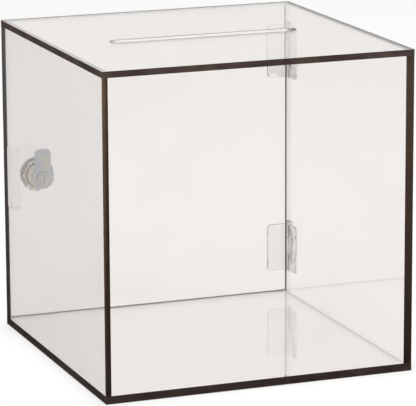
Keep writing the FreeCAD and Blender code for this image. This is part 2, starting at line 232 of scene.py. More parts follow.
class DonationBoxPanels(bpy.types.PropertyGroup):
    """Sizes and colours of the clear panels."""
    tint: bpy.props.FloatVectorProperty(
        name="Tint", description="Light that one panel lets through",
        default=(0.945, 0.926, 0.914), **COLOUR)
    hinge_tint: bpy.props.FloatVectorProperty(
        name="Hinge tint", description="Light that a moulded hinge leaf lets through",
        default=(0.93, 0.935, 0.93), **COLOUR)
    rim: bpy.props.FloatProperty(
        name="Rim", description="Broken edge of a sawn panel", unit="LENGTH", default=0.07 * MM)
    contact: bpy.props.FloatProperty(
        name="Contact depth", description="How far a panel reaches into the dark edge bonded to it",
        unit="LENGTH", default=0.06 * MM)
    film: bpy.props.FloatProperty(
        name="Film", description="Gap at a joint that isn't bonded", unit="LENGTH", default=0.03 * MM)
    slot_length: bpy.props.FloatProperty(
        name="Slot length", description="Deposit slot over its round ends", unit="LENGTH",
        default=(SLOT_HIGH.x - SLOT_LOW.x) * MM)
    slot_width: bpy.props.FloatProperty(
        name="Slot width", description="Deposit slot, front to rear", unit="LENGTH",
        default=(SLOT_HIGH.y - SLOT_LOW.y) * MM)
    slot_rim: bpy.props.FloatProperty(
        name="Slot rim", description="Broken edge of the deposit slot", unit="LENGTH", default=0.35 * MM)


class DonationBoxEdges(bpy.types.PropertyGroup):
    """Colours of the dark edges."""
    colour: bpy.props.FloatVectorProperty(
        name="Colour", description="Dark brown edge",
        default=(0.022, 0.0148, 0.0122), **COLOUR)
    # The worn colour also serves as painted light on the top bands
    worn: bpy.props.FloatVectorProperty(
        name="Worn colour", description="Edge where the dark coat is thin",
        default=(0.13, 0.095, 0.08), **COLOUR)
    # The bond colour also serves as painted light near the top of the corner bonds
    bond: bpy.props.FloatVectorProperty(
        name="Bond colour", description="Adhesive in a corner mitre where it is thin",
        default=(0.15, 0.094, 0.056), **COLOUR)
    rim: bpy.props.FloatProperty(
        name="Rim", description="Round edge of a dark band", unit="LENGTH", default=0.05 * MM)


class DonationBoxMetals(bpy.types.PropertyGroup):
    """Colours of the hinge pins and the lock."""
    steel: bpy.props.FloatVectorProperty(
        name="Pin steel", description="Drawn steel",
        default=(0.56, 0.55, 0.54), **COLOUR)
    nickel: bpy.props.FloatVectorProperty(
        name="Nickel", description="Nickel plate",
        default=(0.66, 0.62, 0.55), **COLOUR)
    zinc: bpy.props.FloatVectorProperty(
        name="Zinc", description="Bright zinc plate",
        default=(0.56, 0.58, 0.60), **COLOUR)
    thread_pitch: bpy.props.FloatProperty(
        name="Thread pitch", description="Of the lock barrel", unit="LENGTH", default=1.0 * MM)
    thread_depth: bpy.props.FloatProperty(
        name="Thread depth", description="Of the lock barrel", unit="LENGTH", default=0.45 * MM)
    washer_teeth: bpy.props.IntProperty(
        name="Washer teeth", description="Round the lock washer", min=6, max=24, default=14)


class DonationBoxStage(bpy.types.PropertyGroup):
    """Camera, floor and light."""
    azimuth: bpy.props.FloatProperty(
        name="Azimuth", description="Camera round the box, from the front", subtype="ANGLE",
        default=math.radians(-20.848))
    elevation: bpy.props.FloatProperty(
        name="Elevation", description="Camera above the horizon", subtype="ANGLE",
        default=math.radians(12.872))
    roll: bpy.props.FloatProperty(
        name="Roll", description="Camera about its own axis", subtype="ANGLE", default=math.radians(-0.286))
    distance: bpy.props.FloatProperty(
        name="Distance", description="Camera to the box", unit="LENGTH", default=1440.77 * MM)
    across: bpy.props.FloatProperty(
        name="Across", description="Camera to the right of the box's underside", unit="LENGTH",
        default=2.278 * MM)
    above: bpy.props.FloatProperty(
        name="Above", description="Camera above the box's underside in the picture", unit="LENGTH",
        default=68.621 * MM)
    lens: bpy.props.FloatProperty(
        name="Lens", description="Focal length for a 36 mm sensor, in millimetres", default=260.2)
    floor: bpy.props.FloatVectorProperty(
        name="Floor", description="Floor colour",
        default=(0.93, 0.93, 0.93), **COLOUR)
    # The tent colours are a painted reflection: glowing grey that only reflections show
    tent_near: bpy.props.FloatVectorProperty(
        name="Tent near", description="Cloth that the box reflects close to it",
        default=(0.05, 0.05, 0.05), **COLOUR)
    tent_far: bpy.props.FloatVectorProperty(
        name="Tent far", description="Cloth that the box reflects further away",
        default=(0.25, 0.244, 0.238), **COLOUR)
    tent_wall: bpy.props.FloatVectorProperty(
        name="Tent wall", description="Wall of the tent that the top reflects",
        default=(0.78, 0.77, 0.755), **COLOUR)
    surround: bpy.props.FloatProperty(
        name="Surround", description="Brightness of the room that lights the box", default=0.78)


class Value:
    """A node's output. Sums and products of it become Math nodes."""

    def __init__(self, nodes, socket):
        self.nodes = nodes
        self.socket = socket

    def math(self, operation, *terms):
        """A Math node of these terms."""
        return self.nodes.add("ShaderNodeMath", {"operation": operation}, dict(enumerate(terms)))

    def __add__(self, other):
        return self.math("ADD", self, other)

    def __radd__(self, other):
        return self.math("ADD", other, self)

    def __sub__(self, other):
        return self.math("SUBTRACT", self, other)

    def __rsub__(self, other):
        return self.math("SUBTRACT", other, self)

    def __mul__(self, other):
        return self.math("MULTIPLY", self, other)

    def __rmul__(self, other):
        return self.math("MULTIPLY", other, self)

    def larger(self, other):
        """The larger of two values."""
        return self.math("MAXIMUM", self, other)

    def ease(self, low, high):
        """0 below low, 1 above high, and a smooth step between."""
        return self.nodes.add("ShaderNodeMapRange", {"interpolation_type": "SMOOTHSTEP"},
                              {"Value": self, "From Min": low, "From Max": high})


class Nodes:
    """A node tree and the one way in which nodes get into it."""

    def __init__(self, tree):
        self.tree = tree
        tree.nodes.clear()

    def add(self, kind, settings=None, sockets=None, out=0):
        """A node with its settings, then the values or links of its sockets. Gives one of its outputs."""
        node = self.tree.nodes.new(kind)
        for name, value in (settings or {}).items():
            setattr(node, name, value)
        for name, value in (sockets or {}).items():
            if isinstance(value, Value):
                self.tree.links.new(value.socket, node.inputs[name])
            else:
                node.inputs[name].default_value = value
        return Value(self, node.outputs[out]) if node.outputs else None

    def place(self):
        """Position on the piece, in metres."""
        return self.add("ShaderNodeTexCoord", out="Object")

    def wear_and_light(self):
        """Share of wear, thinness, painted shade or painted light that the mesh gives, from 0 to 1."""
        return self.add("ShaderNodeAttribute", {"attribute_name": "wear_and_light"}, None, "Fac")

    def stretch(self, vector, scale):
        """A position scaled along each axis."""
        return self.add("ShaderNodeVectorMath", {"operation": "MULTIPLY"}, {0: vector, 1: scale})

    def noise(self, vector, scale=1.0, detail=2.0, roughness=0.5):
        """Smooth noise from 0 to 1."""
        return self.add("ShaderNodeTexNoise", None,
                        {"Vector": vector, "Scale": scale, "Detail": detail, "Roughness": roughness})

    def mix(self, factor, first, second):
        """A mix of two colours."""
        return self.add("ShaderNodeMix", {"data_type": "RGBA"}, {0: factor, 6: first, 7: second}, 2)

    def bump(self, height, distance, strength=1.0):
        """A normal bent by a height, whose full step is distance in metres."""
        return self.add("ShaderNodeBump", None,
                        {"Strength": strength, "Distance": distance, "Height": height})

    def principled(self, sockets):
        """The main shader."""
        return self.add("ShaderNodeBsdfPrincipled", None, sockets)

    def show(self, shader, output="ShaderNodeOutputMaterial"):
        """Make this shader the surface."""
        self.add(output, None, {"Surface": shader})


def opaque(colour, share=1.0):
    """An RGBA colour, scaled."""
    return (*(channel * share for channel in colour), 1.0)


def let_light_through(nodes, shader, tint):
    """Lamps and scattered light cross a clear piece in a straight line."""
    clear = nodes.add("ShaderNodeBsdfTransparent", None, {"Color": opaque([c ** 0.5 for c in tint])})
    for ray in ("Is Diffuse Ray", "Is Shadow Ray"):
        path = nodes.add("ShaderNodeLightPath", out=ray)
        shader = nodes.add("ShaderNodeMixShader", None, {0: path, 1: shader, 2: clear})
    return shader


def clear_surface(nodes, tint, haze, rough, bumps):
    """Clear plastic with a faint haze, a roughness and a bent normal."""
    shade = nodes.mix(haze, opaque(tint), opaque(tint, HAZE_SHARE))
    glass = nodes.principled({
        "Base Color": shade, "Roughness": rough, "Normal": bumps,
        "IOR": ACRYLIC_IOR, "Transmission Weight": 1.0})
    return let_light_through(nodes, glass, tint)


def polished_acrylic(nodes, scene):
    """Cast sheet with handling haze, hairline scratches and a slow waviness."""
    tint = scene.donation_box_panels.tint
    place = nodes.place()
    haze = nodes.noise(place, scale=26.0, detail=4.0).ease(0.5, 0.8)
    lines = nodes.noise(nodes.stretch(place, (1400.0, 40.0, 36.0)), detail=1.0)
    cross = nodes.noise(nodes.stretch(place, (30.0, 1300.0, 1500.0)), detail=1.0)
    scratch = lines.ease(0.71, 0.76).larger(cross.ease(0.73, 0.78))
    wave = nodes.noise(place, scale=22.0, detail=1.0)
    bumps = nodes.bump(wave, distance=0.000008, strength=0.5)
    return clear_surface(nodes, tint, haze, 0.004 * haze + 0.03 * scratch, bumps)


def sawn_acrylic(nodes, scene):
    """Sawn and scraped edge: frosted, with fine saw lines, and darkened with painted shade in the slot."""
    place = nodes.place()
    # Painted shade darkens the slot's wall and rims
    painted_shade = nodes.wear_and_light()
    lines = nodes.noise(nodes.stretch(place, (2600.0, 2600.0, 160.0)), detail=3.0)
    grain = nodes.noise(place, scale=5200.0, detail=2.0)
    shade = nodes.mix(lines, (0.88, 0.875, 0.87, 1.0), (0.97, 0.97, 0.965, 1.0))
    frost = nodes.principled({
        "Base Color": nodes.mix(painted_shade, shade, opaque(SLOT_SHADE)), "Roughness": 0.42 + 0.3 * grain,
        "Normal": nodes.bump(lines + 0.5 * grain, distance=0.00004, strength=0.7),
        "IOR": ACRYLIC_IOR, "Transmission Weight": 0.12})
    return let_light_through(nodes, frost, scene.donation_box_panels.tint)


def moulded_clear(nodes, scene):
    """Clear moulded plastic with flow lines and a slight haze."""
    place = nodes.place()
    flow = nodes.noise(nodes.stretch(place, (90.0, 90.0, 420.0)), detail=3.0)
    haze = nodes.noise(place, scale=260.0, detail=3.0).ease(0.4, 0.8)
    bumps = nodes.bump(flow, distance=0.00005, strength=0.5)
    return clear_surface(nodes, scene.donation_box_panels.hinge_tint, haze, 0.03 + 0.05 * haze, bumps)


def dark_coat_colour(nodes, scene, place):
    """Dark brown with streaks, specks, a thinner coat on worn edges, and painted light that makes the top bands
    lighter.
    """
    edges = scene.donation_box_edges
    streak = nodes.noise(nodes.stretch(place, (60.0, 60.0, 900.0)), detail=3.0)
    patch = nodes.noise(place, scale=75.0, detail=4.0, roughness=0.6)
    speck = nodes.noise(place, scale=2300.0, detail=2.0).ease(0.66, 0.74)
    coat = nodes.wear_and_light() * (0.27 + 0.3 * patch.ease(0.42, 0.72))
    thin = coat.larger(speck * 0.22) + 0.16 * streak.ease(0.45, 0.8)
    return nodes.mix(thin, opaque(edges.colour), opaque(edges.worn)), streak, speck


def dark_edge(nodes, scene):
    """Outside of a dark edge: a satin coat."""
    place = nodes.place()
    colour, streak, speck = dark_coat_colour(nodes, scene, place)
    return nodes.principled({
        "Base Color": colour, "Roughness": 0.5 + 0.2 * streak + 0.15 * speck, "Specular IOR Level": 0.03,
        "Normal": nodes.bump(streak - 0.4 * speck, distance=0.00003, strength=0.6)})


def dark_edge_behind_acrylic(nodes, scene):
    """The side of a dark edge that is bonded to the acrylic, so it has no gloss of its own."""
    place = nodes.place()
    colour, _, speck = dark_coat_colour(nodes, scene, place)
    return nodes.principled({
        "Base Color": colour, "Roughness": 0.8 + 0.1 * speck, "Specular IOR Level": 0.0})


def dark_bond(nodes, scene):
    """Dark adhesive bonded between two panels, browner where it is thin and where painted light falls near the
    top, with no gloss of its own.
    """
    edges = scene.donation_box_edges
    place = nodes.place()
    streak = nodes.noise(nodes.stretch(place, (400.0, 400.0, 60.0)), detail=3.0)
    speck = nodes.noise(place, scale=1700.0, detail=2.0).ease(0.6, 0.75)
    share = nodes.wear_and_light() * (0.6 + 0.8 * streak) + 0.06 * speck
    return nodes.principled({
        "Base Color": nodes.mix(share, opaque(edges.colour), opaque(edges.bond)),
        "Roughness": 0.8 + 0.1 * speck, "Specular IOR Level": 0.0})


def turned_rings(nodes, place, axis):
    """Fine rings round the lock's axis, from 0 to 1."""
    offset = nodes.add("ShaderNodeVectorMath", {"operation": "SUBTRACT"}, {0: place, 1: axis})
    flat = nodes.stretch(offset, (1.0, 0.0, 1.0))
    radius = nodes.add("ShaderNodeVectorMath", {"operation": "LENGTH"}, {0: flat}, "Value")
    return nodes.add("ShaderNodeTexNoise", {"noise_dimensions": "1D"},
                     {"W": radius * 9000.0, "Scale": 1.0, "Detail": 2.0})


def nickel_plate(nodes, scene):
    """Plated die casting with turning marks and a few fine scuffs."""
    place = nodes.place()
    rings = turned_rings(nodes, place, LOCK_AXIS)
    scuff = nodes.noise(nodes.stretch(place, (700.0, 700.0, 90.0)), detail=4.0).ease(0.6, 0.75)
    cloud = nodes.noise(place, scale=420.0, detail=3.0)
    nickel = scene.donation_box_metals.nickel
    return nodes.principled({
        "Base Color": nodes.mix(cloud, opaque(nickel, 0.9), opaque(nickel, 1.08)), "Metallic": 1.0,
        "Roughness": 0.16 + 0.1 * rings + 0.16 * scuff,
        "Normal": nodes.bump(rings - 0.6 * scuff, distance=0.000012, strength=0.6)})


def zinc_plate(nodes, scene):
    """Bright zinc with a faint blue and straw mottle."""
    place = nodes.place()
    cells = nodes.add("ShaderNodeTexVoronoi", None, {"Vector": place, "Scale": 900.0})
    mottle = nodes.noise(place, scale=210.0, detail=3.0)
    zinc = scene.donation_box_metals.zinc
    plain = nodes.mix(mottle.ease(0.35, 0.65), opaque((zinc[0] * 0.92, zinc[1] * 0.95, zinc[2] * 1.05)),
                      opaque((zinc[0] * 1.1, zinc[1] * 1.05, zinc[2] * 0.93)))
    return nodes.principled({
        "Base Color": plain, "Metallic": 1.0, "Roughness": 0.28 + 0.16 * cells + 0.08 * mottle,
        "Normal": nodes.bump(cells + 0.4 * mottle, distance=0.00002, strength=0.4)})


def drawn_steel(nodes, scene):
    """Drawn wire with lines along its length."""
    place = nodes.place()
    lines = nodes.noise(nodes.stretch(place, (5200.0, 5200.0, 110.0)), detail=3.0)
    stain = nodes.noise(place, scale=330.0, detail=3.0).ease(0.55, 0.8)
    steel = scene.donation_box_metals.steel
    return nodes.principled({
        "Base Color": nodes.mix(stain, opaque(steel), opaque(steel, 0.72)), "Metallic": 1.0,
        "Roughness": 0.2 + 0.18 * lines + 0.12 * stain,
        "Normal": nodes.bump(lines, distance=0.00001, strength=0.5)})


FINISHES = {
    "polished_acrylic": polished_acrylic,
    "sawn_acrylic": sawn_acrylic,
    "moulded_clear": moulded_clear,
    "dark_edge": dark_edge,
    "dark_edge_behind_acrylic": dark_edge_behind_acrylic,
    "dark_bond": dark_bond,
    "nickel_plate": nickel_plate,
    "zinc_plate": zinc_plate,
    "drawn_steel": drawn_steel,
}


def new_material(name):
    """A material with no nodes yet, and its node tree."""
    made = bpy.data.materials.new(name)
    made.use_nodes = True
    return made, Nodes(made.node_tree)


def finish(name):
    """The material of that name, made when it is first asked for."""
    made = bpy.data.materials.get(f"box_{name}")
    if made is None:
        made, nodes = new_material(f"box_{name}")
        nodes.show(FINISHES[name](nodes, bpy.context.scene))
    return made


def new_object(name, bm, materials):
    """An object in the scene, from a mesh that is used up by it."""
    mesh = bpy.data.meshes.new(name)
    bm.to_mesh(mesh)
    bm.free()
    for material in materials:
        mesh.materials.append(material)
    made = bpy.data.objects.new(name, mesh)
    bpy.context.scene.collection.objects.link(made)
    return made


class Shell:
    """A closed mesh in millimetres, made of rows of points with skins between them and caps."""

    def __init__(self, source=None):
        self.bm = bmesh.new()
        if source is not None:
            self.bm.from_mesh(source)
            bmesh.ops.transform(self.bm, matrix=Matrix.Scale(1.0 / MM, 4), verts=self.bm.verts)
            bmesh.ops.remove_doubles(self.bm, verts=self.bm.verts, dist=WELD)
            bmesh.ops.dissolve_limit(self.bm, angle_limit=FLAT_ANGLE, verts=self.bm.verts,
                                     edges=self.bm.edges)
        self.wear_and_light = self.bm.verts.layers.float.new("wear_and_light")

    def row(self, points, wear_and_light=0.0):
        """A closed row of points, with one share of wear or painted light for all or one for each."""
        row = [self.bm.verts.new(point) for point in points]
        shares = wear_and_light if isinstance(wear_and_light, list) else [wear_and_light] * len(row)
        for vert, share in zip(row, shares):
            vert[self.wear_and_light] = share
        return row

    def skin(self, rows, slots=(0,), ring=False):
        """Faces between following rows. Slots give each side of a row its material in turn."""
        pairs = list(zip(rows, rows[1:]))
        if ring:
            pairs.append((rows[-1], rows[0]))
        for first, second in pairs:
            for index, corner in enumerate(first):
                following = (index + 1) % len(first)
                face = self.bm.faces.new((corner, first[following], second[following], second[index]))
                face.material_index = slots[index % len(slots)]

    def cap(self, *rows, slot=0):
        """A flat face inside the first row and outside the others."""
        if len(rows) == 1:
            self.bm.faces.new(rows[0]).material_index = slot
            return
        edges = []
        for row in rows:
            for index, corner in enumerate(row):
                pair = (corner, row[(index + 1) % len(row)])
                edges.append(self.bm.edges.get(pair) or self.bm.edges.new(pair))
        filled = bmesh.ops.triangle_fill(self.bm, use_beauty=True, edges=edges)
        for item in filled["geom"]:
            if isinstance(item, bmesh.types.BMFace):
                item.material_index = slot

    def solid(self, rows, slots=(0,), ends=(0, 0)):
        """Skins between the rows and a cap on each end, with the materials of sides and ends."""
        self.skin(rows, slots)
        self.cap(rows[0], slot=ends[0])
        self.cap(rows[-1], slot=ends[1])

    def round(self, edges, radius, segments):
        """Round these edges."""
        bmesh.ops.bevel(self.bm, geom=edges, offset=radius, segments=segments, profile=0.5,
                        affect="EDGES", clamp_overlap=True)

    def piece(self, name, nodes, finishes, sharp=30.0):
        """Make the mesh an object that stands for CAD nodes and moves with their body."""
        bmesh.ops.recalc_face_normals(self.bm, faces=self.bm.faces)
        bmesh.ops.transform(self.bm, matrix=Matrix.Scale(MM, 4), verts=self.bm.verts)
        made = new_object(name, self.bm, [finish(item) for item in finishes])
        made.data.shade_smooth()
        made.data.set_sharp_from_angle(angle=math.radians(sharp))
        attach(made, BODY_OF[nodes[0]])
        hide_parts(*nodes)


def rectangle(left, right, low, high):
    """Four corners, anticlockwise."""
    return [Vector((left, low)), Vector((right, low)), Vector((right, high)), Vector((left, high))]


def circle(radius, count=64, centre=(0.0, 0.0), start=0.0, turn=math.tau):
    """Points round a centre, anticlockwise. A part turn includes its end point."""
    steps = count if turn == math.tau else count - 1
    angles = [start + turn * index / steps for index in range(count)]
    return [Vector((centre[0] + radius * math.cos(a), centre[1] + radius * math.sin(a))) for a in angles]


def inset(outline, distance):
    """An anticlockwise outline moved inward, with its corners kept."""
    moved = []
    for index, point in enumerate(outline):
        before = (point - outline[index - 1]).normalized().orthogonal()
        after = (outline[(index + 1) % len(outline)] - point).normalized().orthogonal()
        moved.append(point + (before + after) * (distance / (1.0 + before.dot(after))))
    return moved


def anticlockwise(outline):
    """An outline, turned round if it runs clockwise."""
    area = sum(a.x * b.y - b.x * a.y for a, b in zip(outline, outline[1:] + outline[:1]))
    return outline if area > 0.0 else outline[::-1]


def level(outline, height):
    """A flat outline at a height."""
    return [Vector((point.x, point.y, height)) for point in outline]


def upright_rows(shell, outline, low, high, rim, wear_and_light=(0.0,) * 4):
    """Level rows of an upright solid whose lower and upper edges are broken."""
    narrow = inset(outline, rim)
    steps = ((narrow, low), (outline, low + rim), (outline, high - rim), (narrow, high))
    return [shell.row(level(points, height), share) for (points, height), share in zip(steps, wear_and_light)]


def on_side(side, outline, depth):
    """An outline of (along, height) points on one side of the box, at a depth inward."""
    placed = {
        "front": lambda p: (p.x, depth - HALF_DEPTH, p.y),
        "rear": lambda p: (p.x, HALF_DEPTH - depth, p.y),
        "left": lambda p: (depth - HALF_WIDTH, p.x, p.y),
        "right": lambda p: (HALF_WIDTH - depth, p.x, p.y),
    }[side]
    return [Vector(placed(point)) for point in outline]


def on_lock(outline, outward):
    """An outline of (right, up) points round the lock's axis, outward from the door's face."""
    centre = Vector(LOCK_AXIS) / MM
    return [centre + Vector((point.x, outward, point.y)) for point in outline]


def slot_sizes(panels):
    """The deposit slot's middle, the radius of its ends and half its straight length."""
    radius = panels.slot_width / MM / 2
    return (SLOT_LOW + SLOT_HIGH) / 2, radius, panels.slot_length / MM / 2 - radius


def slot_outline(panels):
    """The deposit slot: two round ends and two straight sides."""
    middle, radius, straight = slot_sizes(panels)
    return (circle(radius, SLOT_END_SIDES, (middle.x + straight, middle.y), -math.pi / 2, math.pi)
            + circle(radius, SLOT_END_SIDES, (middle.x - straight, middle.y), math.pi / 2, math.pi))


def slot_painted_shade(panels, point):
    """Share of painted shade on the slot's wall: most in the round ends, some at the front, none at the rear."""
    middle, radius, straight = slot_sizes(panels)
    end = max(0.0, abs(point.x - middle.x) - straight) / radius
    return max(end, FRONT_SHADE * max(0.0, middle.y - point.y) / radius)


def rim_painted_shade(panels, point):
    """Share of painted shade on the slot's rims: much all round, less at the rear."""
    middle, radius, _ = slot_sizes(panels)
    rear = max(0.0, point.y - middle.y) / radius
    return max(slot_painted_shade(panels, point), RIM_SHADE - REAR_RIM_LESS_SHADE * rear)


class DONATION_BOX_OT_top_panel(bpy.types.Operator):
    """Make the slotted top panel, with a scraped upper edge and a sawn slot darkened by painted shade"""
    bl_idname = "donation_box.top_panel"
    bl_label = "Top panel"

    def execute(self, context):
        panels = context.scene.donation_box_panels
        low, high = cad_box("top_panel")
        rim = panels.rim / MM
        outline = inset(rectangle(low.x, high.x, low.y, high.y), -panels.contact / MM)
        shell = Shell()
        outer = [shell.row(level(outline, low.z)), shell.row(level(outline, high.z - rim)),
                 shell.row(level(inset(outline, rim), high.z))]
        shell.skin(outer[:2])
        shell.skin(outer[1:], (1,))
        slot = slot_outline(panels)
        edge = panels.slot_rim / MM
        wide = inset(slot, -edge)
        # Painted shade: the slot's wall and rims are darkened, most at the round ends and least at the rear rim
        wall_shade_shares = [slot_painted_shade(panels, point) for point in slot]
        rim_shade_shares = [rim_painted_shade(panels, point) for point in slot]
        inner = [shell.row(level(wide, low.z), rim_shade_shares), shell.row(level(slot, low.z + edge), wall_shade_shares),
                 shell.row(level(slot, high.z - edge - NEAR), wall_shade_shares),
                 shell.row(level(slot, high.z - edge), rim_shade_shares), shell.row(level(wide, high.z), rim_shade_shares)]
        shell.skin(inner, (1,))
        shell.cap(outer[0], inner[0])
        shell.cap(outer[-1], inner[-1])
        shell.piece("slotted_top_panel", ["top_panel"], ["polished_acrylic", "sawn_acrylic"])
        return {"FINISHED"}


class DONATION_BOX_OT_base_panel(bpy.types.Operator):
    """Make the base panel, with a broken lower edge"""
    bl_idname = "donation_box.base_panel"
    bl_label = "Base panel"

    def execute(self, context):
        panels = context.scene.donation_box_panels
        low, high = cad_box("base_panel")
        rim = panels.rim / MM
        outline = inset(rectangle(low.x, high.x, low.y, high.y), -panels.contact / MM)
        shell = Shell()
        rows = [shell.row(level(inset(outline, rim), low.z)), shell.row(level(outline, low.z + rim)),
                shell.row(level(outline, high.z))]
        shell.skin(rows[:2], (1,))
        shell.skin(rows[1:])
        shell.cap(rows[0])
        shell.cap(rows[-1])
        shell.piece("clear_base_panel", ["base_panel"], ["polished_acrylic", "sawn_acrylic"])
        return {"FINISHED"}


def mitred_span(side, node):
    """How far a panel reaches along its side, at the outside."""
    low, high = cad_box(node)
    return (low.x, high.x) if side in ("front", "rear") else (low.y, high.y)


def mitred_rows(shell, side, span, heights, thickness, rim, reach=0.0, wear_and_light=0.0):
    """Rows of a mitred plate from its outside to its inside, with broken upper and lower edges."""
    rows = []
    for depth, edge in ((0.0, rim), (rim, 0.0), (thickness - rim, 0.0), (thickness, rim)):
        outline = rectangle(span[0] + depth - reach, span[1] - depth + reach,
                            heights[0] + edge, heights[1] - edge)
        rows.append(shell.row(on_side(side, outline, depth), wear_and_light))
    return rows


class DONATION_BOX_OT_wall_panels(bpy.types.Operator):
    """Make the front, left and right panels, mitred at the corners"""
    bl_idname = "donation_box.wall_panels"
    bl_label = "Wall panels"

    def execute(self, context):
        panels = context.scene.donation_box_panels
        film = panels.film / MM
        reach = math.sqrt(2.0) * panels.contact / MM
        for side in ("front", "left", "right"):
            node = f"{side}_panel"
            low, high = cad_box(node)
            shell = Shell()
            rows = mitred_rows(shell, side, mitred_span(side, node), (low.z + film, high.z - film),
                               WALL, WALL_RIM * panels.rim / MM, reach)
            shell.solid(rows)
            shell.piece(f"clear_{node}", [node], ["polished_acrylic"])
        return {"FINISHED"}


class DONATION_BOX_OT_rear_door(bpy.types.Operator):
    """Make the rear door, with its hole for the lock"""
    bl_idname = "donation_box.rear_door"
    bl_label = "Rear door"

    def execute(self, context):
        panels = context.scene.donation_box_panels
        rim = panels.rim / MM
        low, high = cad_box("rear_door_panel")
        shell = Shell()
        rows = mitred_rows(shell, "rear", mitred_span("rear", "rear_door_panel"), (low.z, high.z),
                           WALL, rim, math.sqrt(2.0) * panels.contact / MM)
        shell.skin(rows, (1, 0))
        hole = [shell.row(on_lock(circle(HOLE_RADIUS + grow, HOLE_SIDES), -depth))
                for depth, grow in ((0.0, rim), (rim, 0.0), (WALL - rim, 0.0), (WALL, rim))]
        shell.skin(hole, (1,))
        shell.cap(rows[0], hole[0])
        shell.cap(rows[-1], hole[-1])
        shell.piece("clear_rear_door", ["rear_door_panel"],
                    ["polished_acrylic", "sawn_acrylic"])
        return {"FINISHED"}


class DONATION_BOX_OT_edge_bands(bpy.types.Operator):
    """Make the dark bands round the top and base panels, the top ones painted lighter as if lit from above"""
    bl_idname = "donation_box.edge_bands"
    bl_label = "Edge bands"

    def execute(self, context):
        rim = context.scene.donation_box_edges.rim / MM
        scraped = context.scene.donation_box_panels.rim / MM
        for panel in ("base", "top"):
            for side in SIDES:
                node = f"{panel}_{side}_edge_band"
                low, high = cad_box(node)
                span = mitred_span(side, node)
                thickness = min(high.x - low.x, high.y - low.y)
                top = high.z - (scraped if panel == "top" else 0.0)
                shell = Shell()
                # Painted light: the top bands get more of the worn colour than the base bands
                rows = mitred_rows(shell, side, span, (low.z, top), thickness, rim, wear_and_light=EDGE_WEAR_AND_LIGHT[panel])
                field = rectangle(span[0] + BAND_END, span[1] - BAND_END, low.z + BAND_SIDE, top - BAND_SIDE)
                rows.insert(0, shell.row(on_side(side, field, 0.0), FIELD_WEAR_AND_LIGHT[panel]))
                shell.solid(rows, ends=(0, 1))
                shell.piece(f"dark_{node}", [node], ["dark_edge", "dark_edge_behind_acrylic"])
        return {"FINISHED"}


def upright_slab(node, outline, slots, rim, inside, foot, head):
    """A dark slab whose sides take their materials in turn, with its wear, thinness or painted light at the foot
    and at the head.
    """
    low, high = cad_box(node)
    shell = Shell()
    rows = upright_rows(shell, anticlockwise(outline), low.z, high.z, rim, (1.0, foot, head, 1.0))
    shell.solid(rows, slots)
    shell.piece(f"dark_{node}", [node], ["dark_edge", inside])


class DONATION_BOX_OT_corner_seams(bpy.types.Operator):
    """Make the dark bonds in the two front corner mitres, painted lighter towards the top"""
    bl_idname = "donation_box.corner_seams"
    bl_label = "Corner seams"

    def execute(self, context):
        rim = context.scene.donation_box_edges.rim / MM
        cut = HALF_WIDTH - cad_box("front_panel")[1].x
        corner = [(cut, 0.0), (WALL + cut, WALL), (WALL, WALL + cut), (0.0, cut)]
        for name, across in (("left", -1.0), ("right", 1.0)):
            outline = [Vector((across * (HALF_WIDTH - u), w - HALF_DEPTH)) for u, w in corner]
            # Painted light: the bonds are browner at the head than at the foot
            foot, head = ([outer, inner, inner, outer] for outer, inner in BOND_THIN_AND_LIGHT[name])
            upright_slab(f"front_{name}_corner_seam", outline, (1, 0, 1, 0), rim, "dark_bond", foot, head)
        return {"FINISHED"}


class DONATION_BOX_OT_rear_bands(bpy.types.Operator):
    """Make the dark bands where the rear door meets the left and right panels"""
    bl_idname = "donation_box.rear_bands"
    bl_label = "Rear edge bands"

    def execute(self, context):
        rim = context.scene.donation_box_edges.rim / MM
        for name, across in (("left", -1.0), ("right", 1.0)):
            for node, on_door in ((f"{name}_panel_rear_edge_band", False), (f"door_{name}_edge_band", True)):
                low, high = cad_box(node)
                near, far = (low.x, high.x) if on_door else (low.y, high.y)
                edge = max(abs(near), abs(far))
                width = edge - min(abs(near), abs(far)) - WALL
                shape = [(edge, 0.0), (edge - width, 0.0), (edge - width - WALL, WALL), (edge - WALL, WALL)]
                if on_door:
                    outline = [Vector((across * u, HALF_DEPTH - w)) for u, w in shape]
                else:
                    outline = [Vector((across * (HALF_WIDTH - w), u)) for u, w in shape]
                upright_slab(node, outline, (0, 1, 0, 0), rim, "dark_edge_behind_acrylic",
                             REAR_WEAR, REAR_WEAR)
        return {"FINISHED"}


class DONATION_BOX_OT_hinge_leaves(bpy.types.Operator):
    """Make the four clear hinge leaves, with round corners and soft edges"""
    bl_idname = "donation_box.hinge_leaves"
    bl_label = "Hinge leaves"

    def execute(self, context):
        panels = context.scene.donation_box_panels
        for place in ("lower", "upper"):
            for part, across in (("box", 0), ("door", 1)):
                node = f"{place}_hinge_{part}_leaf"
                shell = Shell(frame["nodes"][node].data)
                low = cad_box(node)[0]
                corners = [edge for edge in shell.bm.edges
                           if all(abs(v.co[1 - across] - low[1 - across]) < NEAR for v in edge.verts)
                           and abs(edge.verts[0].co.z - edge.verts[1].co.z) < NEAR]
                shell.round(corners, LEAF_CORNER_RADIUS, LEAF_CORNER_STEPS)
                for vert in shell.bm.verts:
                    if abs(vert.co[across] - low[across]) < NEAR:
                        vert.co[across] += panels.film / MM
                sharp = [edge for edge in shell.bm.edges
                         if edge.is_manifold and edge.calc_face_angle() > LEAF_EDGE_ANGLE and edge.is_convex]
                shell.round(sharp, LEAF_RIM, LEAF_RIM_STEPS)
                shell.piece(f"clear_{node}", [node], ["moulded_clear"])
        return {"FINISHED"}


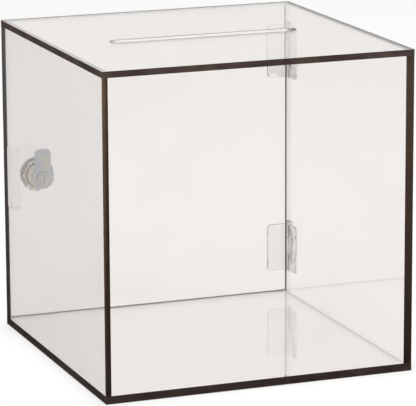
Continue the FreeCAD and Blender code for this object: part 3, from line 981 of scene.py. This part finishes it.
class DONATION_BOX_OT_hinge_pins(bpy.types.Operator):
    """Make the two headed hinge pins"""
    bl_idname = "donation_box.hinge_pins"
    bl_label = "Hinge pins"

    def execute(self, context):
        film = context.scene.donation_box_panels.film / MM
        for place in ("lower", "upper"):
            node = f"{place}_hinge_pin"
            low, high = cad_box(node)
            middle = (low + high) / 2
            under = high.z - PIN_HEAD_HEIGHT + film
            profile = [(radius, low.z + up) for radius, up in PIN_TIP]
            profile += [(radius, under + up) for radius, up in PIN_NECK]
            profile += [(radius, high.z - down) for radius, down in PIN_TOP]
            shell = Shell()
            shell.solid([shell.row(level(circle(radius, PIN_SIDES, middle.xy), height))
                         for radius, height in profile])
            shell.piece(f"steel_{node}", [node], ["drawn_steel"])
        return {"FINISHED"}


class DONATION_BOX_OT_lock_keeper(bpy.types.Operator):
    """Make the clear block that the cam turns behind, with sawn ends"""
    bl_idname = "donation_box.lock_keeper"
    bl_label = "Lock keeper"

    def execute(self, context):
        panels = context.scene.donation_box_panels
        low, high = cad_box("lock_keeper")
        rim = KEEPER_RIM * panels.rim / MM
        outline = rectangle(low.x + panels.film / MM, high.x, low.y, high.y)
        shell = Shell()
        shell.solid(upright_rows(shell, outline, low.z, high.z, rim), ends=(1, 1))
        shell.piece("clear_lock_keeper", ["lock_keeper"],
                    ["polished_acrylic", "sawn_acrylic"])
        return {"FINISHED"}


def thread_rows(shell, metals, high, low, radius):
    """Rows of a screw thread that fades out at both ends."""
    pitch = metals.thread_pitch / MM
    depth = metals.thread_depth / MM
    count = round((high - low) / pitch * THREAD_STEPS)
    rows = []
    for step in range(count + 1):
        height = high + (low - high) * step / count
        fade = min(1.0, (high - height) / pitch, (height - low) / pitch)
        points = []
        for index, point in enumerate(circle(1.0, TURNED_SIDES)):
            phase = (height / pitch - index / TURNED_SIDES) % 1.0
            groove = min(1.0, max(0.0, THREAD_FLANK * (1.0 - abs(2.0 * phase - 1.0)) - THREAD_LAND))
            points.append(point * (radius - fade * depth * groove))
        rows.append(shell.row(on_lock(points, height)))
    return rows


def lock_reach(node):
    """Half the width of a lock piece, and its inner and outer end, outward from the door's face."""
    low, high = cad_box(node)
    return (high.x - low.x) / 2, low.y - HALF_DEPTH, high.y - HALF_DEPTH


def turned_rows(shell, profile):
    """Rows of a piece turned about the lock's axis, from (radius, outward) points."""
    return [shell.row(on_lock(circle(radius, TURNED_SIDES), outward)) for radius, outward in profile]


class DONATION_BOX_OT_lock_housing(bpy.types.Operator):
    """Make the lock housing: a bezel with a groove, and a threaded barrel"""
    bl_idname = "donation_box.lock_housing"
    bl_label = "Lock housing"

    def execute(self, context):
        flange, rear, face = lock_reach("lock_housing")
        film = context.scene.donation_box_panels.film / MM
        shell = Shell()
        front = [(radius, face - depth) for radius, depth in BEZEL]
        front += [(flange - inward, face - depth) for inward, depth in FLANGE_ROUND]
        front += [(flange, film + FLANGE_CHAMFER), (flange - FLANGE_CHAMFER, film),
                  (BARREL_RADIUS, film), (BARREL_RADIUS, -BARREL_NECK)]
        back = [(BARREL_RADIUS - inward, rear + depth) for inward, depth in BARREL_END]
        back += [(PLUG_BORE + BORE_CHAMFER, rear), (PLUG_BORE, rear + BORE_CHAMFER),
                 (PLUG_BORE, COLLAR_SEAT), (COLLAR_BORE, COLLAR_SEAT)]
        rows = turned_rows(shell, front)
        rows += thread_rows(shell, context.scene.donation_box_metals, -THREAD_TOP, rear + THREAD_RUNOUT,
                            BARREL_RADIUS)
        rows += turned_rows(shell, back)
        shell.skin(rows, ring=True)
        shell.piece("nickel_lock_housing", ["lock_housing"], ["nickel_plate"], sharp=35.0)
        return {"FINISHED"}


class DONATION_BOX_OT_lock_washer(bpy.types.Operator):
    """Make the washer with twisted teeth"""
    bl_idname = "donation_box.lock_washer"
    bl_label = "Lock washer"

    def execute(self, context):
        tip, inner_face, outer_face = lock_reach("lock_washer")
        teeth = context.scene.donation_box_metals.washer_teeth
        film = context.scene.donation_box_panels.film / MM
        middle = (inner_face + outer_face - film) / 2
        room = (outer_face - inner_face - film) / 2
        sheet = room * WASHER_SHEET
        corner = tip - TOOTH_CORNER
        pattern = [(WASHER_ROOT, 0.0), (WASHER_ROOT, 0.0), (corner, 1.0), (tip, TOOTH_TWIST), (tip, 0.0),
                   (tip, -TOOTH_TWIST), (corner, -1.0), (WASHER_ROOT, 0.0)]
        shell = Shell()
        rows = []
        for side in (-1.0, 1.0):
            inner, outer = [], []
            for tooth in range(teeth):
                for (radius, twist), step in zip(pattern, TOOTH_STEPS):
                    angle = math.tau * (tooth + step) / teeth
                    around = Vector((math.cos(angle), math.sin(angle)))
                    inner += on_lock([around * HOLE_RADIUS], middle + side * sheet)
                    outer += on_lock([around * radius], middle + side * sheet + twist * (room - sheet))
            ring = [shell.row(inner), shell.row(outer)]
            rows += ring if side < 0.0 else ring[::-1]
        shell.skin(rows, ring=True)
        shell.piece("zinc_lock_washer", ["lock_washer"], ["zinc_plate"])
        return {"FINISHED"}


class DONATION_BOX_OT_lock_nut(bpy.types.Operator):
    """Make the hexagon nut with chamfered corners"""
    bl_idname = "donation_box.lock_nut"
    bl_label = "Lock nut"

    def execute(self, context):
        low, high = cad_box("lock_nut")
        film = context.scene.donation_box_panels.film / MM
        flat = (high.z - low.z) / 2
        _, back, front = lock_reach("lock_nut")
        front -= film
        shell = Shell()
        wide = HOLE_RADIUS + NUT_BORE_CHAMFER
        rows = turned_rows(shell, [(HOLE_RADIUS, back + NUT_BORE_CHAMFER), (wide, back)])
        cuts = [(back + cut, cut) for cut in NUT_CHAMFERS]
        cuts += [(front - cut, cut) for cut in reversed(NUT_CHAMFERS)]
        for outward, cut in cuts:
            points = []
            for index, point in enumerate(circle(1.0, TURNED_SIDES)):
                turn = (index / TURNED_SIDES * math.tau) % (math.pi / 3) - math.pi / 6
                cone = flat * NUT_CROWN + cut * NUT_CHAMFER_SLOPE
                points.append(point * min(flat / math.cos(turn), cone))
            rows.append(shell.row(on_lock(points, outward)))
        rows += turned_rows(shell, [(wide, front), (HOLE_RADIUS, front - NUT_BORE_CHAMFER)])
        shell.skin(rows, ring=True)
        shell.piece("nickel_lock_nut", ["lock_nut"], ["nickel_plate"], sharp=25.0)
        return {"FINISHED"}


class DONATION_BOX_OT_lock_plug(bpy.types.Operator):
    """Make the plug with its collar, warded keyway and square tang"""
    bl_idname = "donation_box.lock_plug"
    bl_label = "Lock plug"

    def execute(self, context):
        collar, rear, face = lock_reach("lock_plug")
        shoulder = lock_reach("lock_cam")[2]
        seat = COLLAR_SEAT + PLUG_LIFT
        shell = Shell()
        rows = turned_rows(shell, [(collar - inward, face - depth) for inward, depth in COLLAR_ROUND] + [
            (collar, seat), (PLUG_RADIUS, seat), (PLUG_RADIUS, shoulder + PLUG_CHAMFER),
            (PLUG_RADIUS - PLUG_CHAMFER, shoulder)])
        shell.skin(rows)
        side = KEYWAY_WIDTH / 2
        up = KEYWAY_HEIGHT / 2
        warded = (side, side - WARD, side - WARD, side)
        keyway = [(-side, -up), (side, -up), *zip(warded, RIGHT_WARD), (side, up), (-side, up)]
        keyway += [(-across, height) for across, height in zip(warded, LEFT_WARD)]
        keyway = [Vector(point) for point in keyway]
        key_rows = [shell.row(on_lock(inset(keyway, -KEYWAY_LEAD), face)),
                    shell.row(on_lock(keyway, face - KEYWAY_LEAD_DEPTH)),
                    shell.row(on_lock(keyway, face - KEYWAY_DEPTH))]
        shell.skin(key_rows)
        shell.cap(key_rows[-1])
        shell.cap(rows[0], key_rows[0])
        half = TANG_SIDE / 2
        tang = [shell.row(on_lock(inset(rectangle(-half, half, -half, half), shrink), outward))
                for outward, shrink in ((shoulder, 0.0), (rear + TANG_CHAMFER, 0.0), (rear, TANG_CHAMFER))]
        shell.skin(tang)
        shell.cap(rows[-1], tang[0])
        shell.cap(tang[-1])
        shell.piece("nickel_lock_plug", ["lock_plug"], ["nickel_plate"])
        return {"FINISHED"}


class DONATION_BOX_OT_lock_cam(bpy.types.Operator):
    """Make the stamped cam"""
    bl_idname = "donation_box.lock_cam"
    bl_label = "Lock cam"

    def execute(self, context):
        low, high = cad_box("lock_cam")
        centre = Vector(LOCK_AXIS) / MM
        hub = centre.z - low.z
        reach = high.z - centre.z
        half = CAM_WIDTH / 2
        root = math.acos(half / hub)
        outline = [Vector(p) for p in (
            (half, reach - CAM_TIP_CUT), (half - CAM_TIP_CUT, reach), (CAM_TIP_CUT - half, reach),
            (-half, reach - CAM_TIP_CUT))]
        outline += circle(hub, CAM_HUB_SIDES, (0.0, 0.0), math.pi - root, math.pi + 2.0 * root)
        hole = rectangle(-CAM_HOLE, CAM_HOLE, -CAM_HOLE, CAM_HOLE)
        _, back, front = lock_reach("lock_cam")
        edges = ((back, CAM_BURR), (back + CAM_BURR, 0.0), (front - CAM_ROLL, 0.0),
                 (front - CAM_ROLL_MIDDLE, CAM_ROLL_MIDDLE), (front, CAM_ROLL))
        shell = Shell()
        rows = [shell.row(on_lock(inset(outline, edge), outward)) for outward, edge in edges]
        holes = [shell.row(on_lock(inset(hole, -edge / 2), outward)) for outward, edge in edges]
        shell.skin(rows)
        shell.skin(holes)
        shell.cap(rows[0], holes[0])
        shell.cap(rows[-1], holes[-1])
        shell.piece("zinc_lock_cam", ["lock_cam"], ["zinc_plate"], sharp=40.0)
        return {"FINISHED"}


class DONATION_BOX_OT_cam_screw(bpy.types.Operator):
    """Make the slotted screw with a domed head"""
    bl_idname = "donation_box.cam_screw"
    bl_label = "Cam screw"

    def execute(self, context):
        radius, head, tip = lock_reach("cam_screw")
        under = lock_reach("lock_cam")[1]
        height = under - head
        across = [-cut * radius for cut in SCREW_CUTS]
        across += [-SCREW_SLOT / 2, SCREW_SLOT_DRAFT - SCREW_SLOT / 2]
        across += [-u for u in reversed(across)]
        shell = Shell()
        rows = []
        for index, right in enumerate(across):
            reach = math.sqrt(radius ** 2 - right ** 2)
            in_slot = abs(index - (len(across) - 1) / 2) < 1.0
            ups = [reach * (2.0 * step / SCREW_STEPS - 1.0) for step in range(SCREW_STEPS + 1)]
            section = on_lock([Vector((right, up)) for up in ups], under)
            for up in reversed(ups):
                dome = height * (1.0 - SCREW_DOME * (right ** 2 + up ** 2) / radius ** 2)
                section += on_lock([Vector((right, up))], under - (height / 2 if in_slot else dome))
            rows.append(shell.row(section))
        shell.solid(rows)
        shank = ((SCREW_RADIUS, under - SHANK_ROOT), (SCREW_RADIUS, tip - SHANK_POINT),
                 (SCREW_RADIUS - SHANK_POINT, tip))
        shell.solid([shell.row(on_lock(circle(size, SCREW_SIDES), outward)) for size, outward in shank])
        shell.piece("zinc_cam_screw", ["cam_screw"], ["zinc_plate"], sharp=40.0)
        return {"FINISHED"}


def seen_rays(nodes):
    """1 for what the camera sees, straight on, through clear pieces or in a reflection."""
    camera, mirrored, through = (nodes.add("ShaderNodeLightPath", out=f"Is {ray} Ray")
                                 for ray in ("Camera", "Glossy", "Transmission"))
    return camera.larger(mirrored).larger(through)


def make_world(stage):
    """White where it is seen, and a shaded room for what lights the box."""
    world = bpy.data.worlds.new("studio")
    bpy.context.scene.world = world
    world.use_nodes = True
    nodes = Nodes(world.node_tree)
    direction = nodes.add("ShaderNodeTexCoord", out="Generated")
    across = nodes.add("ShaderNodeSeparateXYZ", None, {0: direction}, "X")
    up = nodes.add("ShaderNodeSeparateXYZ", None, {0: direction}, "Z")
    shade = (stage.surround * (1.0 - CEILING_SHADE * up.ease(0.35, 1.0))
             * (1.0 - RIGHT_SHADE * across.ease(0.55, 0.95)))
    room = nodes.add("ShaderNodeBackground", None, {"Color": opaque(ROOM_TINT), "Strength": shade})
    white = nodes.add("ShaderNodeBackground", None, {"Color": WHITE, "Strength": 1.0})
    nodes.show(nodes.add("ShaderNodeMixShader", None, {0: seen_rays(nodes), 1: room, 2: white}),
               "ShaderNodeOutputWorld")


def floor_finish(stage):
    """Pale matt floor that is half lit from below, so that its shadows stay soft."""
    made, nodes = new_material("pale_floor")
    grain = nodes.noise(nodes.place(), scale=300.0, detail=2.0)
    matt = nodes.principled({
        "Base Color": nodes.mix(grain, opaque(stage.floor, 0.99), opaque(stage.floor)),
        "Roughness": 0.9, "Specular IOR Level": 0.0})
    white = nodes.add("ShaderNodeEmission", None, {"Color": WHITE, "Strength": 1.0})
    nodes.show(nodes.add("ShaderNodeMixShader", None, {0: 0.5 * seen_rays(nodes), 1: matt, 2: white}))
    return made


def painted_reflection_finish(stage):
    """Painted reflection: glowing grey, darker near the box and paler towards and up the tent's wall."""
    made, nodes = new_material("painted_reflection_tent")
    distance = nodes.add("ShaderNodeVectorMath", {"operation": "LENGTH"}, {0: nodes.place()}, "Value")
    near = nodes.mix(distance.ease(TENT_HOLE, TENT_BRIGHT), opaque(stage.tent_near), opaque(stage.tent_far))
    cloth = nodes.mix(distance.ease(TENT_BRIGHT, TENT_RADIUS), near, opaque(stage.tent_wall))
    nodes.show(nodes.add("ShaderNodeEmission", None, {"Color": cloth, "Strength": 1.0}))
    return made


def make_tent(stage):
    """A square tent of glowing grey, open at the top, that only reflections show: a painted reflection."""
    profile = [(TENT_HOLE, TENT_LIFT), (TENT_RADIUS, TENT_LIFT), (TENT_RADIUS, TENT_HEIGHT)]
    shell = Shell()
    shell.skin([shell.row(level(rectangle(-half, half, -half, half), height)) for half, height in profile])
    tent = new_object("reflected_tent", shell.bm, [painted_reflection_finish(stage)])
    tent.visible_camera = tent.visible_diffuse = tent.visible_transmission = tent.visible_shadow = False


def soft_lamp(name, place, aim, size, power):
    """A large square lamp aimed at a point, which no polished face mirrors."""
    lamp = bpy.data.lights.new(name, "AREA")
    lamp.size = size
    lamp.energy = power
    made = bpy.data.objects.new(name, lamp)
    made.visible_glossy = made.visible_transmission = False
    made.location = place
    made.rotation_euler = (Vector(aim) - Vector(place)).to_track_quat("-Z", "Y").to_euler()
    bpy.context.scene.collection.objects.link(made)


class DONATION_BOX_OT_stage(bpy.types.Operator):
    """Make the floor, the light and the camera"""
    bl_idname = "donation_box.stage"
    bl_label = "Stage"

    def execute(self, context):
        scene = context.scene
        stage = scene.donation_box_stage
        grid = bmesh.new()
        bmesh.ops.create_grid(grid, x_segments=1, y_segments=1, size=FLOOR_HALF)
        floor = new_object("pale_floor", grid, [floor_finish(stage)])
        floor.location.z = -FLOOR_GAP
        make_world(stage)
        make_tent(stage)
        middle = (CAD_BOX[0] + CAD_BOX[1]) / 2
        for name, place, size, power in LAMPS:
            soft_lamp(name, place, middle, size, power)
        camera = bpy.data.objects.new("camera", bpy.data.cameras.new("camera"))
        scene.collection.objects.link(camera)
        turn = (Matrix.Rotation(stage.azimuth, 4, "Z")
                @ Matrix.Rotation(math.pi / 2 - stage.elevation, 4, "X")
                @ Matrix.Rotation(stage.roll, 4, "Z"))
        camera.matrix_world = turn @ Matrix.Translation((stage.across, stage.above, stage.distance))
        camera.data.lens = stage.lens
        camera.data.sensor_width = SENSOR_WIDTH
        camera.data.clip_end = CLIP_END
        scene.camera = camera
        scene.view_settings.view_transform = "Standard"
        scene.cycles.max_bounces = LIGHT_BOUNCES
        scene.cycles.transmission_bounces = LIGHT_BOUNCES
        scene.cycles.transparent_max_bounces = LIGHT_BOUNCES
        scene.cycles.glossy_bounces = GLOSSY_BOUNCES
        return {"FINISHED"}


SETTINGS = {
    "donation_box_panels": DonationBoxPanels,
    "donation_box_edges": DonationBoxEdges,
    "donation_box_metals": DonationBoxMetals,
    "donation_box_stage": DonationBoxStage,
}
MAKERS = (
    DONATION_BOX_OT_top_panel,
    DONATION_BOX_OT_base_panel,
    DONATION_BOX_OT_wall_panels,
    DONATION_BOX_OT_rear_door,
    DONATION_BOX_OT_edge_bands,
    DONATION_BOX_OT_corner_seams,
    DONATION_BOX_OT_rear_bands,
    DONATION_BOX_OT_hinge_leaves,
    DONATION_BOX_OT_hinge_pins,
    DONATION_BOX_OT_lock_keeper,
    DONATION_BOX_OT_lock_housing,
    DONATION_BOX_OT_lock_washer,
    DONATION_BOX_OT_lock_nut,
    DONATION_BOX_OT_lock_plug,
    DONATION_BOX_OT_lock_cam,
    DONATION_BOX_OT_cam_screw,
    DONATION_BOX_OT_stage,
)


class VIEW3D_PT_donation_box(bpy.types.Panel):
    """Sidebar list of the box's settings and makers"""
    bl_label = "Donation box"
    bl_idname = "VIEW3D_PT_donation_box"
    bl_space_type = "VIEW_3D"
    bl_region_type = "UI"
    bl_category = "Donation box"

    def draw(self, context):
        for name, group in SETTINGS.items():
            column = self.layout.column()
            for item in group.__annotations__:
                column.prop(getattr(context.scene, name), item)
        for maker in MAKERS:
            self.layout.operator(maker.bl_idname)


def register():
    """Make the settings, makers and panel known to Blender."""
    for name, group in SETTINGS.items():
        bpy.utils.register_class(group)
        setattr(bpy.types.Scene, name, bpy.props.PointerProperty(type=group))
    for maker in MAKERS:
        bpy.utils.register_class(maker)
    bpy.utils.register_class(VIEW3D_PT_donation_box)


def unregister():
    """Take them away again."""
    bpy.utils.unregister_class(VIEW3D_PT_donation_box)
    for maker in reversed(MAKERS):
        bpy.utils.unregister_class(maker)
    for name, group in reversed(SETTINGS.items()):
        delattr(bpy.types.Scene, name)
        bpy.utils.unregister_class(group)


def main():
    """Build every piece and the stage."""
    register()
    for maker in MAKERS:
        group, name = maker.bl_idname.split(".")
        getattr(getattr(bpy.ops, group), name)()


if __name__ == "__main__":
    main()
